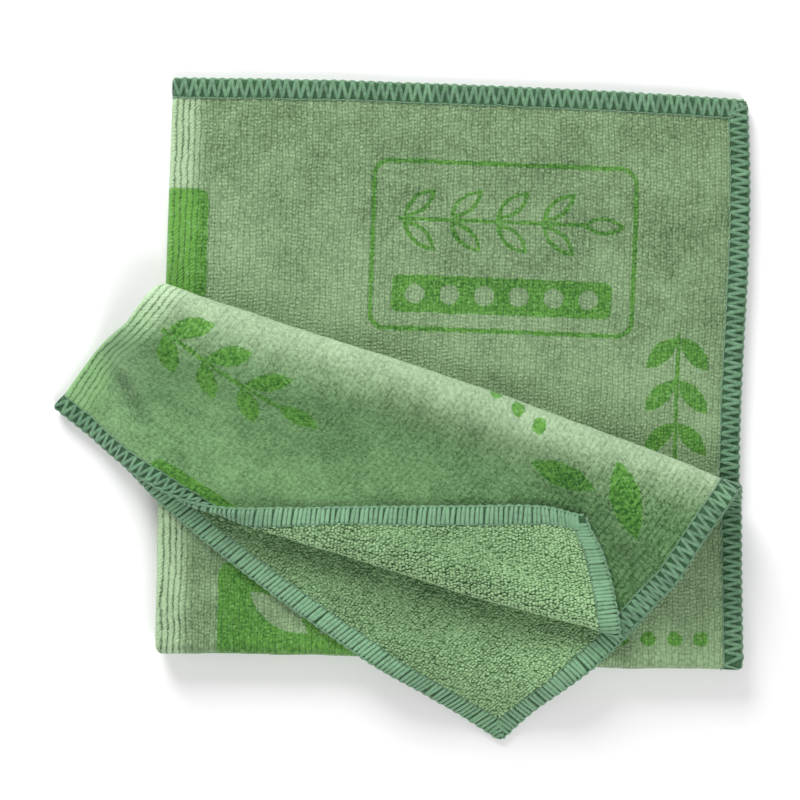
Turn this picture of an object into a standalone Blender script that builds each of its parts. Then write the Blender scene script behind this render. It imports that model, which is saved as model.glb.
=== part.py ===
"""A square kitchen cloth, folded in four and then turned back on itself, as one solid.

The cloth is one sheet of knitted microfibre, 400 x 400 mm, overlocked on its four edges.
It lies face up in four layers (a fold down the left side, a fold along the near side),
the two upper layers are turned back over a soft oblique roll, and the corner of the
topmost layer is turned up once more.

The sheet is drawn flat, as (u, v) in millimetres, and carried into its folds by the
functions below. Lengths are millimetres until the mesh is written, in metres.
"""

import math

import bmesh
import bpy
import numpy as np

# ---------------------------------------------------------------- named sizes (mm)
SIDE = 400.0            # the cloth laid flat
HALF = SIDE / 2.0
THICK = 1.8             # the sheet
HEM_THICK = 2.15        # the sheet under its overlocked edge
HEM = 6.5               # width of the overlocked edge
PITCH = 2.6             # from one layer's middle to the next
R_SIDE = PITCH / 2.0    # the left fold
R_NEAR = PITCH          # the near fold, round two layers
LIFT = THICK / 2.0      # middle of the lowest layer
LEVEL = (LIFT + 0.5 * PITCH, LIFT + 2.5 * PITCH, LIFT + 4.5 * PITCH)  # middles of the three pairs

PX = 0.35               # every plan position below is on a 0.35 mm grid
MID = (400.5, 410.5)    # grid position of the plan's origin


def plan_mm(gx, gy):
    return np.array([(gx - MID[0]) * PX, (MID[1] - gy) * PX])


# corners of the folded square (silhouette), counter-clockwise from the near left
CORNERS = [plan_mm(156.5, 653), plan_mm(739, 668), plan_mm(746.5, 101), plan_mm(172.5, 79)]
# the oblique roll: silhouette line, its radii (outer quarter, shoulder, top, hollow) along it and its bow
ROLL_A, ROLL_B = plan_mm(157, 281.3), plan_mm(738, 479.3)
ROLL_AT = (0.0, 0.10, 0.17, 0.25, 0.32, 0.42, 0.50, 0.58, 0.72, 0.80, 0.88, 1.0)
ROLL_TURN = (5.6, 5.6, 5.4, 6.0, 6.5, 7.0, 6.4, 5.6, 5.8, 7.0, 8.2, 8.2)
ROLL_SHOULDER = (8.0, 7.0, 6.0, 5.5, 5.5, 5.5, 5.5, 5.0, 5.0, 5.5, 5.5, 6.0)
ROLL_TOP = (20.0, 22.0, 34.0, 27.0, 21.0, 12.0, 10.0, 7.5, 8.0, 16.0, 38.0, 40.0)
ROLL_HOLLOW = (40.0, 70.0, 110.0, 100.0, 95.0, 85.0, 80.0, 58.0, 50.0, 40.0, 22.0, 22.0)
ROLL_BOW = (0.1, 0.1, 0.0, 0.2, 0.6, 1.1, 1.4, 1.4, 0.6, 0.1, -0.4, -1.8)  # silhouette beyond its line
SHOULDER = math.radians(25.0)  # slope at which the shoulder gives way to the top
# where the two outer corners of the turned-back pair land
TIP_LEFT, TIP_NEAR = plan_mm(55.5, 407.5), plan_mm(501, 741)
UPPER_SHORT = 6.8       # how far the upper layer's far edge stays behind the lower one's
UPPER_NARROW = 3.0      # and its right edge
TIP_ROUND = 3.6         # how far the upper layer's corner is drawn in
END_BOW, RIGHT_BOW = 4.8, 4.6  # how far the turned-back edges bow outwards
LEFT_BOW = 2.6          # and the left fold beside them
# the turned-up corner of the topmost layer: fold line in plan, radii, final height
TURN_A, TURN_B = plan_mm(270, 530), plan_mm(601, 629)
TURN_R = (2.6, 2.6, 9.0, 14.0)
TURN_REST = PITCH + 0.25
# where the turned-back pair hangs over the edges of the square
DROOP_RUN = 29.0
DROOP_LEVEL = LEVEL[0] + 0.35

# soft rises of the upper layers: plan position, half lengths along/across, angle, height
RISES = [
    (245, 200, 34.0, 7.5, 88, 1.3), (345, 190, 40.0, 11.0, 92, 1.5),
    (470, 250, 22.0, 14.0, 20, 0.9), (600, 170, 30.0, 13.0, 80, 1.1),
    (690, 250, 34.0, 12.0, 95, 1.3), (205, 620, 20.0, 9.0, 10, 1.1),
    (655, 625, 16.0, 11.0, 60, 1.9), (712, 640, 12.0, 7.0, 100, 1.1),
    (250, 470, 26.0, 10.0, -32, 0.8), (480, 680, 13.0, 9.0, -40, 0.9),
    (95, 385, 12.0, 7.0, 40, 0.7), (330, 620, 18.0, 8.0, -10, 0.9),
    (128, 400, 10.0, 3.4, -57, -1.5),
]
PUFF = 0.24             # how much thicker the stack is at its folded edges
PUFF_RUN = 7.0

S_MAX = HALF - R_SIDE * (math.pi / 2.0 - 1.0)
Y_MAX = HALF - R_NEAR * (math.pi / 2.0 - 1.0)


# ---------------------------------------------------------------- small helpers
def smooth(x):
    x = np.clip(x, 0.0, 1.0)
    return x * x * (3.0 - 2.0 * x)


def smoother(x):
    x = np.clip(x, 0.0, 1.0)
    return x * x * x * (x * (6.0 * x - 15.0) + 10.0)


def side_fold(u):
    """Distance from the left fold and offset from the middle of the pair."""
    a = np.clip(u / R_SIDE, -math.pi / 2, math.pi / 2)
    s = R_SIDE * (1.0 - np.cos(a)) + np.maximum(np.abs(u) - R_SIDE * math.pi / 2, 0.0)
    return s, R_SIDE * np.sin(a)


def near_fold(v):
    """Distance from the near fold and height of the pair's middle, before the roll."""
    start = HALF - R_NEAR * math.pi / 2
    a = np.clip((v - start) / R_NEAR, 0.0, math.pi)
    y = R_NEAR * (1.0 - np.sin(a)) + np.maximum(start - v, 0.0) + np.maximum(v - start - R_NEAR * math.pi, 0.0)
    return y, LEVEL[0] + R_NEAR * (1.0 - np.cos(a))


def plan(s, y):
    """Place a point of the folded square in plan."""
    a = (s + THICK / 2) / (S_MAX + THICK / 2)
    b = (y + R_SIDE + THICK / 2) / (Y_MAX + R_SIDE + THICK / 2)
    a, b = a[..., None], b[..., None]
    p = (1 - a) * (1 - b) * CORNERS[0] + a * (1 - b) * CORNERS[1] + a * b * CORNERS[2] + (1 - a) * b * CORNERS[3]
    bow = 4.0 * a[..., 0] * (1.0 - a[..., 0])
    p[..., 1] += 1.5 * bow * b[..., 0] + 0.9 * np.sin(2.0 * math.pi * a[..., 0]) * (1.0 - b[..., 0]) ** 2
    p[..., 0] -= a[..., 0] * 1.2 * np.sin(2.0 * math.pi * np.clip(b[..., 0], 0.0, 1.0) ** 1.35)
    p[..., 0] -= 0.7 * (1.0 - a[..., 0]) * np.sin(math.pi * b[..., 0])
    return p


def roll_profile(run, r1, r2, r3, r4, rise):
    """A soft fold seen from its end: quarter turn, shoulder, broad top, then a hollow back to flat.

    run is the arc length from where the cloth leaves the flat; rise is the final height.
    """
    crest = r1 + r2 * math.cos(SHOULDER) + r3 * (1.0 - math.cos(SHOULDER))
    dip = np.arccos(np.clip(1.0 - (crest - rise) / (r3 + r4), -1.0, 1.0))
    l1, l2 = r1 * math.pi / 2, r2 * (math.pi / 2 - SHOULDER)
    l3, l4 = r3 * (SHOULDER + dip), r4 * dip
    a1 = np.clip(run / r1, 0.0, math.pi / 2)
    a2 = math.pi / 2 + np.clip((run - l1) / r2, 0.0, math.pi / 2 - SHOULDER)
    a3 = math.pi - SHOULDER + np.clip((run - l1 - l2) / r3, 0.0, SHOULDER + dip)
    a4 = dip - np.clip((run - l1 - l2 - l3) / r4, 0.0, dip)
    q = np.minimum(run, 0.0) + r1 * np.sin(a1) + r2 * (np.sin(a2) - 1.0) + r3 * (np.sin(a3) - math.sin(SHOULDER))
    q = q - r4 * (np.sin(dip) - np.sin(a4)) - np.maximum(run - l1 - l2 - l3 - l4, 0.0)
    z = r1 * (1.0 - np.cos(a1)) - r2 * np.cos(a2) - r3 * (np.cos(a3) + math.cos(SHOULDER))
    z = z - r4 * (np.cos(a4) - np.cos(dip))
    return q, z, (l1, l2, l3, l4)


ROLL_T = (ROLL_B - ROLL_A) / np.linalg.norm(ROLL_B - ROLL_A)
ROLL_N = np.array([-ROLL_T[1], ROLL_T[0]])
ROLL_LEN = float(np.linalg.norm(ROLL_B - ROLL_A))


def roll_radii(along):
    t = np.clip(along / ROLL_LEN, 0.0, 1.0)
    fine = np.linspace(0.0, 1.0, 41)
    out = []
    for table in (ROLL_TURN, ROLL_SHOULDER, ROLL_TOP, ROLL_HOLLOW, ROLL_BOW):
        # the table, rounded off so that the roll has no corners along it
        raw = np.interp(fine, ROLL_AT, table)
        for _ in range(12):
            raw[1:-1] = 0.25 * raw[:-2] + 0.5 * raw[1:-1] + 0.25 * raw[2:]
        out.append(np.interp(t, fine, raw))
    return out


def roll_start(along):
    radii = roll_radii(along)
    return radii[4] - (radii[0] + R_SIDE + THICK / 2)


def beyond_roll(p):
    """(distance past the start of the roll, position along it) of flat plan points."""
    d = p - ROLL_A
    along = d @ ROLL_T
    return d @ ROLL_N - roll_start(along), along


def pair_middle(s, v, fix=None):
    """Middle surface of the two layers that share the left fold."""
    y, z = near_fold(v)
    p = plan(s, y)
    run, along = beyond_roll(p)
    back = (v > HALF + R_NEAR * math.pi / 2) & (run > 0.0)
    radii = roll_radii(along)
    q, dz, ls = roll_profile(run, *radii[:4], LEVEL[2] - LEVEL[1])
    across = roll_start(along) + q
    rolled = ROLL_A + along[..., None] * ROLL_T + across[..., None] * ROLL_N
    zr = z + dz
    if fix is not None:
        end, _ = beyond_roll(plan(s, np.full_like(y, Y_MAX)))
        crest = ls[0] + ls[1] + radii[2] * SHOULDER
        f = np.clip((run - crest) / np.maximum(end - crest, 1.0), 0.0, 1.3)[..., None]
        f = f * f / (f + 0.12) * 1.12
        t = np.clip(s / S_MAX, 0.0, 1.0)[..., None]
        rolled = rolled + f * ((1 - t) * fix[0] + t * fix[1])
        out_end = np.array([(TIP_LEFT - TIP_NEAR)[1], (TIP_NEAR - TIP_LEFT)[0]])
        out_end = -out_end / np.linalg.norm(out_end)
        out_right = np.array([0.73, -0.68])
        g = 6.75 * f * (1.0 - f) ** 2
        rolled = rolled + np.sin(math.pi * t ** 1.3) ** 2 * f * END_BOW * out_end
        rolled = rolled + g * (t * t * RIGHT_BOW * out_right - (1.0 - t) ** 3 * LEFT_BOW * out_right)
        zr = droop(rolled, zr)
    p = np.where(back[..., None], rolled, p)
    z = np.where(back, zr, z)
    return np.concatenate([p, z[..., None]], axis=-1)


def over_edge(p):
    """How far a plan point lies outside the left or near edge of the folded square."""
    def outside(a, b):
        t = (b - a) / np.linalg.norm(b - a)
        d = p - a
        return d[..., 0] * t[1] - d[..., 1] * t[0]
    return np.maximum(outside(CORNERS[3], CORNERS[0]), outside(CORNERS[0], CORNERS[1]))


def droop(p, z):
    run = DROOP_RUN * (1.0 + 0.05 * np.clip(z - LEVEL[2], 0.0, 12.0))
    f = smoother((over_edge(p) + 1.0) / run)
    return z * (1.0 - f) + DROOP_LEVEL * f


def tip_fixes():
    ends = pair_middle(np.array([0.0, S_MAX]), np.array([SIDE, SIDE]))
    return TIP_LEFT - ends[0, :2], TIP_NEAR - ends[1, :2]


FIX = tip_fixes()


def middle(s, v):
    return pair_middle(s, v, FIX)


def find_on_pair(target):
    """Cloth position (s, v) of the turned-back pair that lies at a plan point."""
    sv = np.array([100.0, 380.0])
    for _ in range(40):
        here = middle(np.array([sv[0]]), np.array([sv[1]]))[0, :2]
        e = 0.5
        ds = (middle(np.array([sv[0] + e]), np.array([sv[1]]))[0, :2] - here) / e
        dv = (middle(np.array([sv[0]]), np.array([sv[1] + e]))[0, :2] - here) / e
        step = np.linalg.solve(np.stack([ds, dv], axis=1), target - here)
        sv = sv + np.clip(step, -25.0, 25.0)
    return sv


TURN_SV = (find_on_pair(TURN_A), find_on_pair(TURN_B))
TURN_T = (TURN_SV[1] - TURN_SV[0]) / np.linalg.norm(TURN_SV[1] - TURN_SV[0])
TURN_N = np.array([-TURN_T[1], TURN_T[0]])
if TURN_N @ (np.array([S_MAX, SIDE]) - TURN_SV[0]) < 0:
    TURN_N = -TURN_N
TURN_START = -(TURN_R[0] + THICK / 2)


def turned_up(s, v):
    """The corner of the topmost layer: new cloth position and height above that layer."""
    ds, dv = s - TURN_SV[0][0], v - TURN_SV[0][1]
    d = ds * TURN_N[0] + dv * TURN_N[1]
    t = ds * TURN_T[0] + dv * TURN_T[1]
    run = d - TURN_START
    q, h, _ = roll_profile(run, *TURN_R, TURN_REST)
    q = np.where(run > 0.0, TURN_START + q, d)
    h = np.where(run > 0.0, h, 0.0)
    return TURN_SV[0][0] + q * TURN_N[0] + t * TURN_T[0], TURN_SV[0][1] + q * TURN_N[1] + t * TURN_T[1], h


def upper_in(s, v):
    """The topmost layer lies a little shorter than the one below it."""
    share = smooth((v - 300.0) / 100.0)
    tip = TIP_ROUND * np.exp(-((s - S_MAX) ** 2 + (v - SIDE) ** 2) / 13.0 ** 2)
    s_in = s - UPPER_NARROW * share * smooth((s - 30.0) / 150.0) - tip
    v_in = v - UPPER_SHORT * share * smooth((s - 12.0) / 70.0) - tip
    return s_in, v_in


def hem_share(u, v):
    """1 in the overlocked edge, 0 in the field; the edge is squeezed where it is folded."""
    edge = np.minimum(np.minimum(HALF - np.abs(u), v), SIDE - v)
    squeeze = (1.0 - np.exp(-((v - HALF) / 7.0) ** 2)) * (1.0 - np.exp(-((u / 6.0) ** 2)))
    return squeeze * (1.0 - smooth((edge - 0.55 * HEM) / (0.45 * HEM)))


def rises(p):
    z = np.zeros(p.shape[:-1])
    for gx, gy, along, across, angle, height in RISES:
        c, s = math.cos(math.radians(angle)), math.sin(math.radians(angle))
        d = p[..., :2] - plan_mm(gx, gy)
        a, b = d[..., 0] * c + d[..., 1] * s, -d[..., 0] * s + d[..., 1] * c
        z = z + height * np.exp(-0.5 * ((a / along) ** 2 + (b / across) ** 2))
    return z


def folded(u, v):
    """Cloth position (u, v) -> its place in the folded cloth (middle of the sheet)."""
    u, v = np.asarray(u, float), np.asarray(v, float)
    s, w = side_fold(u)
    upper = u > R_SIDE * math.pi / 2
    s_in, v_in = upper_in(s, v)
    s2, v2, h = turned_up(s_in, v_in)
    s_at, v_at = np.where(upper, s2, s), np.where(upper, v2, v)
    h = np.where(upper, h, 0.0)
    e = 0.05
    m = middle(s_at, v_at)
    d_s = middle(s_at + e, v_at) - middle(s_at - e, v_at)
    d_v = middle(s_at, v_at + e) - middle(s_at, v_at - e)
    n = np.cross(d_v, d_s)
    n = n / np.linalg.norm(n, axis=-1, keepdims=True)
    p = m + (w + h)[..., None] * n
    # upper layers rise softly, the stack is fuller at its folds, hems are a little thicker
    above = smooth((p[..., 2] - LIFT) / PITCH)
    over = over_edge(p[..., :2])
    stack = np.clip(p[..., 2] - LIFT, 0.0, 7.5)
    puff = np.exp(-((np.minimum(over, 0.0) / PUFF_RUN) ** 2)) * (1.0 - smoother((over - 1.0) / (0.8 * DROOP_RUN)))
    p[..., 2] += above * rises(p) + stack * PUFF * puff
    p[..., 2] += 0.5 * (HEM_THICK - THICK) * hem_share(u, v)
    return p


def facing(u, v):
    """Direction in which the printed face looks."""
    e = 0.03
    du = folded(u + e, v) - folded(u - e, v)
    dv = folded(u, v + e) - folded(u, v - e)
    n = np.cross(dv, du)
    return n / np.linalg.norm(n, axis=-1, keepdims=True)


# ---------------------------------------------------------------- the cut of the mesh
def cloth_columns():
    bend = R_SIDE * math.pi / 2
    turn = [bend * i / 4 for i in range(5)]
    wide = [5.0, 10.0, 16.0, 22.0, 29.0, 36.0, 44.0, 52.0, 61.0]
    wide += [61.0 + (HALF - HEM - 61.0) * i / 11 for i in range(1, 12)]
    right = turn + wide + [HALF - 0.45 * HEM, HALF]
    return [-x for x in reversed(right[1:])] + right


def row_at_run(s, pick):
    """v of the cloth line that lies a given run past the start of the roll."""
    v = np.full_like(s, 300.0)
    for _ in range(12):
        y, _ = near_fold(v)
        run, along = beyond_roll(plan(s, y))
        _, _, ls = roll_profile(run, *roll_radii(along)[:4], LEVEL[2] - LEVEL[1])
        v = v + (pick(ls) - run)
    return v


def cloth_rows(s):
    """Rows of the mesh as v for every column; they follow the folds they pass."""
    one = np.ones_like(s)
    rows = [0.0 * one, 0.45 * HEM * one, HEM * one]
    bend = R_NEAR * math.pi / 2
    rows += [HEM + (HALF - bend - HEM) * i / 12 * one for i in range(1, 13)]
    rows += [(HALF - bend + 2 * bend * i / 8) * one for i in range(1, 9)]
    start = row_at_run(s, lambda l: 0.0)
    rows += [(HALF + bend) + (start - HALF - bend) * i / 6 for i in range(1, 6)]
    rows += [row_at_run(s, lambda l, i=i: l[0] * i / 3) for i in range(0, 4)]
    rows += [row_at_run(s, lambda l, i=i: l[0] + l[1] * i / 2) for i in range(1, 3)]
    rows += [row_at_run(s, lambda l, i=i: l[0] + l[1] + l[2] * i / 4) for i in range(1, 5)]
    rows += [row_at_run(s, lambda l, i=i: l[0] + l[1] + l[2] + l[3] * i / 3) for i in range(1, 4)]
    last = rows[-1]
    rows += [last + (SIDE - HEM - last) * i / 5 for i in range(1, 6)]
    rows += [(SIDE - 0.45 * HEM) * one, SIDE * one]
    return rows


def turn_lines():
    _, _, (l1, l2, l3, l4) = roll_profile(np.array(0.0), *TURN_R, TURN_REST)
    runs = [0.0, l1 / 3, 2 * l1 / 3, l1, l1 + l2 / 2, l1 + l2]
    runs += [l1 + l2 + l3 * i / 3 for i in range(1, 4)] + [l1 + l2 + l3 + l4 * i / 2 for i in range(1, 3)]
    return [TURN_START + float(r) for r in runs]


def turn_cut():
    """The fold line of the turned-up corner on the flat sheet, as two (u, v) points."""
    ends = []
    for target in TURN_SV:
        s, v = target
        for _ in range(20):
            s_in, v_in = upper_in(np.array(s), np.array(v))
            s, v = s + (target[0] - float(s_in)), v + (target[1] - float(v_in))
        ends.append((s + HALF - S_MAX, v))
    return ends


def flat_cloth():
    """The flat sheet in triangles, with an edge along every place where it bends."""
    cols = np.array(cloth_columns())
    s, _ = side_fold(cols)
    rows = cloth_rows(s)
    bm = bmesh.new()
    grid = [[bm.verts.new((cols[i], row[i], 0.0)) for i in range(len(cols))] for row in rows]
    for j in range(len(rows) - 1):
        for i in range(len(cols) - 1):
            bm.faces.new((grid[j][i], grid[j][i + 1], grid[j + 1][i + 1], grid[j + 1][i]))
    # cut the right half along the lines of the turned-up corner
    side, end = turn_cut()
    for d in turn_lines():
        co = (side[0] + d * TURN_N[0], side[1] + d * TURN_N[1], 0.0)
        faces = [f for f in bm.faces if f.calc_center_median().x > HALF * 0.25]
        geom = faces + list({e for f in faces for e in f.edges}) + list({w for f in faces for w in f.verts})
        bmesh.ops.bisect_plane(bm, geom=geom, dist=0.35, plane_co=co, plane_no=(side[1] - end[1], end[0] - side[0], 0.0))
    bmesh.ops.remove_doubles(bm, verts=bm.verts, dist=0.3)
    bmesh.ops.triangulate(bm, faces=bm.faces, quad_method="BEAUTY", ngon_method="BEAUTY")
    bm.verts.index_update()
    flat = np.array([w.co[:2] for w in bm.verts])
    faces = [[w.index for w in f.verts] for f in bm.faces]
    rim = []
    for f in bm.faces:
        for loop in f.loops:
            if len(loop.edge.link_faces) == 1:
                rim.append((loop.link_loop_next.vert.index, loop.vert.index))
    bm.free()
    return flat, faces, rim


def main():
    for ob in list(bpy.data.objects):
        bpy.data.objects.remove(ob, do_unlink=True)
    group = bpy.data.collections.new("folded_kitchen_cloth")
    bpy.context.scene.collection.children.link(group)

    flat, faces, rim = flat_cloth()
    u, v = flat[:, 0], flat[:, 1]
    place, out = folded(u, v), facing(u, v)
    half = 0.5 * (THICK + (HEM_THICK - THICK) * hem_share(u, v))[:, None]
    skins = np.concatenate([place + half * out, place - half * out]) * 0.001
    low, high = skins.min(axis=0), skins.max(axis=0)
    skins[:, :2] -= 0.5 * (low + high)[:2]      # the origin: middle of the plan, on the table

    n = len(flat)
    polys = [list(reversed(f)) for f in faces] + [[n + i for i in f] for f in faces]
    polys += [[a, n + a, n + b, b] for a, b in rim]
    mesh = bpy.data.meshes.new("cloth")
    mesh.from_pydata(skins.tolist(), [], polys)
    mesh.update()
    ob = bpy.data.objects.new("cloth", mesh)
    group.objects.link(ob)


main()
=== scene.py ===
"""Looks of the folded kitchen cloth: fine folded sheet, knit, print, pile and overlocking.

The cloth is drawn flat as (u, v) in millimetres and carried into its folds by the same
functions as the part's source, here with a much finer mesh and real stitches.
"""

import math

import bpy
import numpy as np
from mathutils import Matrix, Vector


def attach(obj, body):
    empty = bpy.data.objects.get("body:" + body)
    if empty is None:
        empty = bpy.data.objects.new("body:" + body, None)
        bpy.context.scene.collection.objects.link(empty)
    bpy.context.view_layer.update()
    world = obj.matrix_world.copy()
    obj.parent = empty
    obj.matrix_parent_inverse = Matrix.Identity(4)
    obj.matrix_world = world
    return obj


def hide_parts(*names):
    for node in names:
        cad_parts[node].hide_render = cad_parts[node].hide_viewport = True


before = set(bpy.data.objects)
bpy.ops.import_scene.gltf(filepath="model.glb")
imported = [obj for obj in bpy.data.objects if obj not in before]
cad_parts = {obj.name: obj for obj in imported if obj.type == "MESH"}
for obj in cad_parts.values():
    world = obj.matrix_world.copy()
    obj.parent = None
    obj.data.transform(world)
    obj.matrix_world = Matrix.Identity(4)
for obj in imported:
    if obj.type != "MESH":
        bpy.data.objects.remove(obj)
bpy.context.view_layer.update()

# ---------------- named sizes (mm), as in the part
SIDE = 400.0  # the cloth laid flat
HALF = SIDE / 2.0
THICK = 1.8  # the sheet
HEM_THICK = 2.15  # the sheet under its overlocked edge
HEM = 6.5  # width of the overlocked edge
PITCH = 2.6  # from one layer's middle to the next
R_SIDE = PITCH / 2.0  # the left fold
R_NEAR = PITCH  # the near fold, round two layers
LIFT = THICK / 2.0  # middle of the lowest layer
LEVEL = (LIFT + 0.5 * PITCH, LIFT + 2.5 * PITCH, LIFT + 4.5 * PITCH)  # middles of the three pairs

MM = 0.001  # in the frame's metres
PX = 0.35  # every plan position below is on a 0.35 mm grid
MID = (400.5, 410.5)  # grid position of the plan's origin


def plan_mm(gx, gy):
    return np.array([(gx - MID[0]) * PX, (MID[1] - gy) * PX])


# corners of the folded square (silhouette), counter-clockwise from the near left
CORNERS = [plan_mm(156.5, 653), plan_mm(739, 668), plan_mm(746.5, 101), plan_mm(172.5, 79)]
FAR_BOW, NEAR_WAVE, RIGHT_WAVE, LEFT_DENT = 1.5, 0.9, 1.2, 0.7  # of the square's edges
# the oblique roll: silhouette line, radii (outer quarter, shoulder, top, hollow) along it, and bow
ROLL_A, ROLL_B = plan_mm(157, 281.3), plan_mm(738, 479.3)
ROLL_AT = (0.0, 0.10, 0.17, 0.25, 0.32, 0.42, 0.50, 0.58, 0.72, 0.80, 0.88, 1.0)
ROLL_TURN = (5.6, 5.6, 5.4, 6.0, 6.5, 7.0, 6.4, 5.6, 5.8, 7.0, 8.2, 8.2)
ROLL_SHOULDER = (8.0, 7.0, 6.0, 5.5, 5.5, 5.5, 5.5, 5.0, 5.0, 5.5, 5.5, 6.0)
ROLL_TOP = (20.0, 22.0, 34.0, 27.0, 21.0, 12.0, 10.0, 7.5, 8.0, 16.0, 38.0, 40.0)
ROLL_HOLLOW = (40.0, 70.0, 110.0, 100.0, 95.0, 85.0, 80.0, 58.0, 50.0, 40.0, 22.0, 22.0)
ROLL_BOW = (0.1, 0.1, 0.0, 0.2, 0.6, 1.1, 1.4, 1.4, 0.6, 0.1, -0.4, -1.8)  # silhouette beyond its line
SHOULDER = math.radians(25.0)  # slope at which the shoulder gives way to the top
# outer corners of the turned-back pair
TIP_LEFT, TIP_NEAR = plan_mm(55.5, 407.5), plan_mm(501, 741)
UPPER_SHORT, UPPER_NARROW = 6.8, 3.0  # how far the upper layer's edges stay behind the lower one's
TIP_ROUND = 3.6  # how far its corner is drawn in
END_BOW, RIGHT_BOW, LEFT_BOW = 4.8, 4.6, 2.6  # of the turned-back edges
# the turned-up corner of the topmost layer: fold line in plan, radii, final height
TURN_A, TURN_B = plan_mm(270, 530), plan_mm(601, 629)
TURN_R = (2.6, 2.6, 9.0, 14.0)
TURN_REST = PITCH + 0.25
# where the turned-back pair hangs over the edges of the square
DROOP_RUN = 29.0
DROOP_LEVEL = LEVEL[0] + 0.35

# soft rises of the upper layers: plan position, half lengths along/across, angle, height
RISES = [
    (245, 200, 34.0, 7.5, 88, 1.3), (345, 190, 40.0, 11.0, 92, 1.5),
    (470, 250, 22.0, 14.0, 20, 0.9), (600, 170, 30.0, 13.0, 80, 1.1),
    (690, 250, 34.0, 12.0, 95, 1.3), (205, 620, 20.0, 9.0, 10, 1.1),
    (655, 625, 16.0, 11.0, 60, 1.9), (712, 640, 12.0, 7.0, 100, 1.1),
    (250, 470, 26.0, 10.0, -32, 0.8), (480, 680, 13.0, 9.0, -40, 0.9),
    (95, 385, 12.0, 7.0, 40, 0.7), (330, 620, 18.0, 8.0, -10, 0.9),
    (128, 400, 10.0, 3.4, -57, -1.5),
]
PUFF = 0.24  # how much thicker the stack is at its folded edges
PUFF_RUN = 7.0

S_MAX = HALF - R_SIDE * (math.pi / 2.0 - 1.0)
Y_MAX = HALF - R_NEAR * (math.pi / 2.0 - 1.0)


# ---------------- the folds
def smooth(x):
    x = np.clip(x, 0.0, 1.0)
    return x * x * (3.0 - 2.0 * x)


def smoother(x):
    x = np.clip(x, 0.0, 1.0)
    return x * x * x * (x * (6.0 * x - 15.0) + 10.0)


def side_fold(u):
    """Distance from the left fold, and offset from the middle of the pair."""
    a = np.clip(u / R_SIDE, -math.pi / 2, math.pi / 2)
    s = R_SIDE * (1.0 - np.cos(a)) + np.maximum(np.abs(u) - R_SIDE * math.pi / 2, 0.0)
    return s, R_SIDE * np.sin(a)


def near_fold(v):
    """Distance from the near fold and height of the pair's middle, before the roll."""
    start = HALF - R_NEAR * math.pi / 2
    a = np.clip((v - start) / R_NEAR, 0.0, math.pi)
    y = R_NEAR * (1.0 - np.sin(a)) + np.maximum(start - v, 0.0)
    y = y + np.maximum(v - start - R_NEAR * math.pi, 0.0)
    return y, LEVEL[0] + R_NEAR * (1.0 - np.cos(a))


def plan(s, y):
    a = (s + THICK / 2) / (S_MAX + THICK / 2)
    b = (y + R_SIDE + THICK / 2) / (Y_MAX + R_SIDE + THICK / 2)
    a, b = a[..., None], b[..., None]
    p = (1 - a) * (1 - b) * CORNERS[0] + a * (1 - b) * CORNERS[1]
    p = p + a * b * CORNERS[2] + (1 - a) * b * CORNERS[3]
    a, b = a[..., 0], b[..., 0]
    wave = np.sin(2.0 * math.pi * a) * (1.0 - b) ** 2
    p[..., 1] += FAR_BOW * (4.0 * a * (1.0 - a)) * b + NEAR_WAVE * wave
    p[..., 0] -= a * RIGHT_WAVE * np.sin(2.0 * math.pi * np.clip(b, 0.0, 1.0) ** 1.35)
    p[..., 0] -= LEFT_DENT * (1.0 - a) * np.sin(math.pi * b)
    return p


def roll_profile(run, r1, r2, r3, r4, rise):
    """A soft fold seen from its end; run is the arc length past its start, rise the final height."""
    crest = r1 + r2 * math.cos(SHOULDER) + r3 * (1.0 - math.cos(SHOULDER))
    dip = np.arccos(np.clip(1.0 - (crest - rise) / (r3 + r4), -1.0, 1.0))
    l1, l2 = r1 * math.pi / 2, r2 * (math.pi / 2 - SHOULDER)
    l3, l4 = r3 * (SHOULDER + dip), r4 * dip
    a1 = np.clip(run / r1, 0.0, math.pi / 2)
    a2 = math.pi / 2 + np.clip((run - l1) / r2, 0.0, math.pi / 2 - SHOULDER)
    a3 = math.pi - SHOULDER + np.clip((run - l1 - l2) / r3, 0.0, SHOULDER + dip)
    a4 = dip - np.clip((run - l1 - l2 - l3) / r4, 0.0, dip)
    q = np.minimum(run, 0.0) + r1 * np.sin(a1) + r2 * (np.sin(a2) - 1.0)
    q = q + r3 * (np.sin(a3) - math.sin(SHOULDER))
    q = q - r4 * (np.sin(dip) - np.sin(a4)) - np.maximum(run - l1 - l2 - l3 - l4, 0.0)
    z = r1 * (1.0 - np.cos(a1)) - r2 * np.cos(a2) - r3 * (np.cos(a3) + math.cos(SHOULDER))
    z = z - r4 * (np.cos(a4) - np.cos(dip))
    return q, z, (l1, l2, l3, l4)


ROLL_T = (ROLL_B - ROLL_A) / np.linalg.norm(ROLL_B - ROLL_A)
ROLL_N = np.array([-ROLL_T[1], ROLL_T[0]])
ROLL_LEN = float(np.linalg.norm(ROLL_B - ROLL_A))


def roll_radii(along):
    t = np.clip(along / ROLL_LEN, 0.0, 1.0)
    fine = np.linspace(0.0, 1.0, 41)
    out = []
    for table in (ROLL_TURN, ROLL_SHOULDER, ROLL_TOP, ROLL_HOLLOW, ROLL_BOW):
        # the table, rounded off so that the roll has no corners along it
        raw = np.interp(fine, ROLL_AT, table)
        for _ in range(12):
            raw[1:-1] = 0.25 * raw[:-2] + 0.5 * raw[1:-1] + 0.25 * raw[2:]
        out.append(np.interp(t, fine, raw))
    return out


def roll_start(along):
    radii = roll_radii(along)
    return radii[4] - (radii[0] + R_SIDE + THICK / 2)


def beyond_roll(p):
    """Distance past the start of the roll, and along it, of flat plan points."""
    d = p - ROLL_A
    along = d @ ROLL_T
    return d @ ROLL_N - roll_start(along), along


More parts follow.
